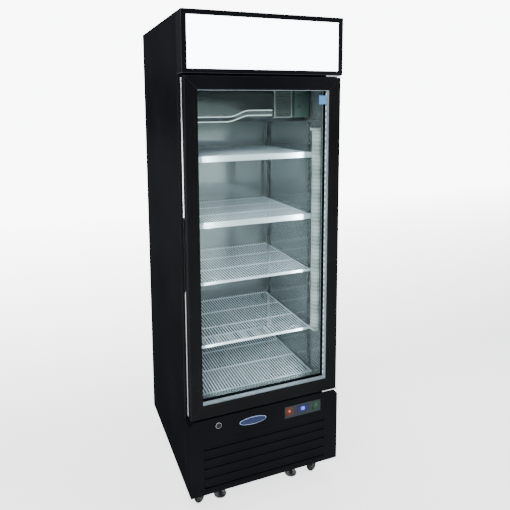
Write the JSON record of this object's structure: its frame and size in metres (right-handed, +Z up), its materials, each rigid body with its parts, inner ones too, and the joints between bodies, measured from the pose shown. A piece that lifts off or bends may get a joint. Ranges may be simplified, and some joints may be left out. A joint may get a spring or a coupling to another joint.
{
  "type": "glass door merchandiser",
  "caption": "Upright refrigerated display cabinet with a hinged glass door, lit sign box, wire shelves, louvred base cover, casters and levelling feet.",
  "frame": {"origin": "on the floor under the centre of the bounding box", "axes": "+Z up, the glass door faces -Y, +X is to the right seen from the front (the hinge side)"},
  "size_m": [0.686, 0.7306, 2.062],
  "materials": {
    "black_steel": "satin",
    "black_plastic": "satin",
    "door_black": "satin",
    "liner_metal": "satin",
    "foam": "matte",
    "sign_white": "gloss",
    "galvanised": "satin",
    "aluminium_bare": "satin",
    "chrome_plate": "polished",
    "clear_glass": "gloss",
    "rubber_black": "matte",
    "white_coating": "gloss",
    "coated_wire": "gloss",
    "diffuser": "matte",
    "plate_teal": "gloss",
    "display_blue": "gloss",
    "rocker_red": "gloss",
    "rocker_green": "gloss",
    "compressor_black": "satin"
  },
  "bodies": {
    "cabinet": {"left_side_panel": "black_steel", "right_side_panel": "black_steel", "back_panel": "black_steel", "top_panel": "black_steel", "base_pan": "galvanised", "foam_insulation": "foam", "face_frame": "black_plastic", "liner_left": "liner_metal", "liner_right": "liner_metal", "liner_back": "liner_metal", "liner_floor": "liner_metal", "liner_top": "liner_metal", "header_frame": "door_black", "sign_panel": "sign_white", "base_cover": "black_steel", "switch_plate": "plate_teal", "temperature_display": "display_blue", "compressor": "compressor_black", "condenser_coil": "aluminium_bare", "evaporator_cover": "liner_metal", "evaporator_coil": "aluminium_bare", "front_left_pilaster": "galvanised", "front_right_pilaster": "galvanised", "rear_left_pilaster": "galvanised", "rear_right_pilaster": "galvanised", "floor_rack": "coated_wire", "interior_lamp": "diffuser", "bottom_hinge": "aluminium_bare", "top_hinge": "aluminium_bare", "front_base_channel": "galvanised", "rear_base_channel": "galvanised", "cord_gland": "black_plastic"},
    "door": {"door_top_rail": "door_black", "door_bottom_rail": "door_black", "door_pull_stile": "door_black", "door_hinge_stile": "door_black", "door_pull_cup": "black_plastic", "outer_glass": "clear_glass", "inner_glass": "clear_glass", "glass_spacer": "aluminium_bare", "door_gasket": "rubber_black"},
    "lock": {"lock_plug": "chrome_plate"},
    "red_switch": {"rocker_red": "rocker_red"},
    "green_switch": {"rocker_green": "rocker_green"},
    "condenser_fan": {"condenser_fan": "black_plastic"},
    "evaporator_fan": {"evaporator_fan": "black_plastic"},
    "shelf_1": {"shelf_1": "coated_wire"},
    "shelf_2": {"shelf_2": "coated_wire"},
    "shelf_3": {"shelf_3": "coated_wire"},
    "shelf_4": {"shelf_4": "coated_wire"},
    "front_left_caster": {"front_left_caster_fork": "galvanised"},
    "front_left_caster_wheel": {"front_left_caster_wheel": "rubber_black"},
    "front_right_caster": {"front_right_caster_fork": "galvanised"},
    "front_right_caster_wheel": {"front_right_caster_wheel": "rubber_black"},
    "rear_left_caster": {"rear_left_caster_fork": "galvanised"},
    "rear_left_caster_wheel": {"rear_left_caster_wheel": "rubber_black"},
    "rear_right_caster": {"rear_right_caster_fork": "galvanised"},
    "rear_right_caster_wheel": {"rear_right_caster_wheel": "rubber_black"},
    "left_foot": {"left_foot": "chrome_plate"},
    "right_foot": {"right_foot": "chrome_plate"}
  },
  "joints": [
    {"name": "door_swing", "type": "hinge", "parent": "cabinet", "child": "door", "pos_m": [0.322, -0.33948, 0.457], "axis": [0, 0, 1], "range_deg": [0, 110], "stiffness_Nm_per_rad": 1.2, "springref_deg": -20.05},
    {"name": "lock_turn", "type": "hinge", "parent": "cabinet", "child": "lock", "pos_m": [-0.22, -0.32948, 0.415], "axis": [0, 1, 0], "range_deg": [0, 90]},
    {"name": "red_switch_tilt", "type": "hinge", "parent": "cabinet", "child": "red_switch", "pos_m": [0.103, -0.35648, 0.401], "axis": [1, 0, 0], "range_deg": [0, 12]},
    {"name": "green_switch_tilt", "type": "hinge", "parent": "cabinet", "child": "green_switch", "pos_m": [0.233, -0.35648, 0.401], "axis": [1, 0, 0], "range_deg": [0, 12]},
    {"name": "condenser_fan_spin", "type": "hinge", "parent": "cabinet", "child": "condenser_fan", "pos_m": [0.175, -0.15448, 0.2623], "axis": [0, 1, 0], "continuous": true},
    {"name": "evaporator_fan_spin", "type": "hinge", "parent": "cabinet", "child": "evaporator_fan", "pos_m": [0.16, -0.13648, 1.725], "axis": [0, 1, 0], "continuous": true},
    {"name": "shelf_1_lift", "type": "slide", "parent": "cabinet", "child": "shelf_1", "axis": [0, 0, 1], "range_m": [0, 0.02]},
    {"name": "shelf_2_lift", "type": "slide", "parent": "cabinet", "child": "shelf_2", "axis": [0, 0, 1], "range_m": [0, 0.02]},
    {"name": "shelf_3_lift", "type": "slide", "parent": "cabinet", "child": "shelf_3", "axis": [0, 0, 1], "range_m": [0, 0.02]},
    {"name": "shelf_4_lift", "type": "slide", "parent": "cabinet", "child": "shelf_4", "axis": [0, 0, 1], "range_m": [0, 0.02]},
    {"name": "front_left_caster_swivel", "type": "hinge", "parent": "cabinet", "child": "front_left_caster", "pos_m": [-0.287, -0.25248, 0.06], "axis": [0, 0, 1], "continuous": true},
    {"name": "front_left_caster_roll", "type": "hinge", "parent": "front_left_caster", "child": "front_left_caster_wheel", "pos_m": [-0.27431, -0.24656, 0.0253], "axis": [-0.4226, 0.9063, 0], "continuous": true},
    {"name": "front_right_caster_swivel", "type": "hinge", "parent": "cabinet", "child": "front_right_caster", "pos_m": [0.287, -0.25248, 0.06], "axis": [0, 0, 1], "continuous": true},
    {"name": "front_right_caster_roll", "type": "hinge", "parent": "front_right_caster", "child": "front_right_caster_wheel", "pos_m": [0.27348, -0.2561, 0.0253], "axis": [0.2588, -0.9659, 0], "continuous": true},
    {"name": "rear_left_caster_swivel", "type": "hinge", "parent": "cabinet", "child": "rear_left_caster", "pos_m": [-0.287, 0.28752, 0.06], "axis": [0, 0, 1], "continuous": true},
    {"name": "rear_left_caster_roll", "type": "hinge", "parent": "rear_left_caster", "child": "rear_left_caster_wheel", "pos_m": [-0.28221, 0.27437, 0.0253], "axis": [0.9397, 0.342, 0], "continuous": true},
    {"name": "rear_right_caster_swivel", "type": "hinge", "parent": "cabinet", "child": "rear_right_caster", "pos_m": [0.287, 0.28752, 0.06], "axis": [0, 0, 1], "continuous": true},
    {"name": "rear_right_caster_roll", "type": "hinge", "parent": "rear_right_caster", "child": "rear_right_caster_wheel", "pos_m": [0.28457, 0.27373, 0.0253], "axis": [0.9848, -0.1736, 0], "continuous": true},
    {"name": "left_foot_screw", "type": "slide", "parent": "cabinet", "child": "left_foot", "axis": [0, 0, 1], "range_m": [-0.015, 0]},
    {"name": "right_foot_screw", "type": "slide", "parent": "cabinet", "child": "right_foot", "axis": [0, 0, 1], "range_m": [-0.015, 0]}
  ]
}
